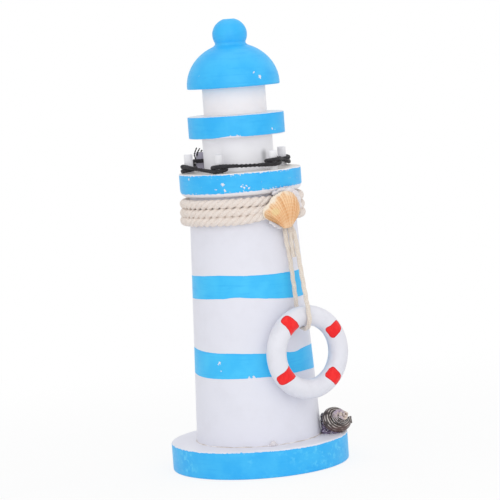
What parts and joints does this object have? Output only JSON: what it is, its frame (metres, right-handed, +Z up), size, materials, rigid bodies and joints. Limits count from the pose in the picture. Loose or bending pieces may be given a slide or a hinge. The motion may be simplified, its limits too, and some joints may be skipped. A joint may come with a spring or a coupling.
{
  "type": "wooden lighthouse ornament",
  "caption": "Free-standing painted wooden lighthouse on a round base, with a rope collar, a corded gallery rail, sea shells and a life ring hung on twine.",
  "frame": {"origin": "centre of the base's flat underside", "axes": "+Z up along the axis the wood was turned on, -Y out of the front, where the life ring faces"},
  "size_m": [0.0956, 0.0956, 0.2402],
  "materials": {
    "blue_painted_wood": "satin paint, chipped",
    "white_painted_wood": "satin paint, brushed",
    "bare_wood": "plain",
    "zinc_steel": "zinc plated",
    "ring_paint": "satin paint with red patches",
    "black_cord": "braided",
    "cotton_rope": "three strands, laid",
    "cotton_twine": "two strands, twisted",
    "scallop": "natural shell",
    "snail": "natural shell, worn",
    "clear_glue": "clear",
    "glitter_glue": "glitter"
  },
  "bodies": {
    "lighthouse": {"base_plate": "blue_painted_wood", "base_screw": "zinc_steel", "tower": "white_painted_wood", "foot_glue_bead": "clear_glue", "gallery_deck": "blue_painted_wood", "centre_dowel": "bare_wood", "rail_post_1": "white_painted_wood", "rail_post_2": "white_painted_wood", "rail_post_3": "white_painted_wood", "rail_post_4": "white_painted_wood", "rail_post_5": "white_painted_wood", "rail_post_6": "white_painted_wood", "rail_cord": "black_cord", "lower_drum": "white_painted_wood", "canopy_ring": "blue_painted_wood", "upper_drum": "white_painted_wood", "dome_cap": "blue_painted_wood", "neck_rope": "cotton_rope", "scallop_shell": "scallop", "scallop_glue": "clear_glue", "snail_shell": "snail", "snail_glue": "glitter_glue"},
    "hanger": {"hanger_string": "cotton_twine", "hanger_knot": "cotton_twine"},
    "ring": {"life_ring": "ring_paint"}
  },
  "joints": [
    {"name": "hanger_sway", "type": "hinge", "parent": "lighthouse", "child": "hanger", "pos_m": [0.008, -0.03013, 0.13057], "axis": [0, -0.999, 0.0441], "range_deg": [-15, 15]},
    {"name": "ring_tilt", "type": "hinge", "parent": "hanger", "child": "ring", "pos_m": [0.009, -0.03884, 0.08173], "axis": [-1, 0, 0], "range_deg": [0, 80]}
  ]
}
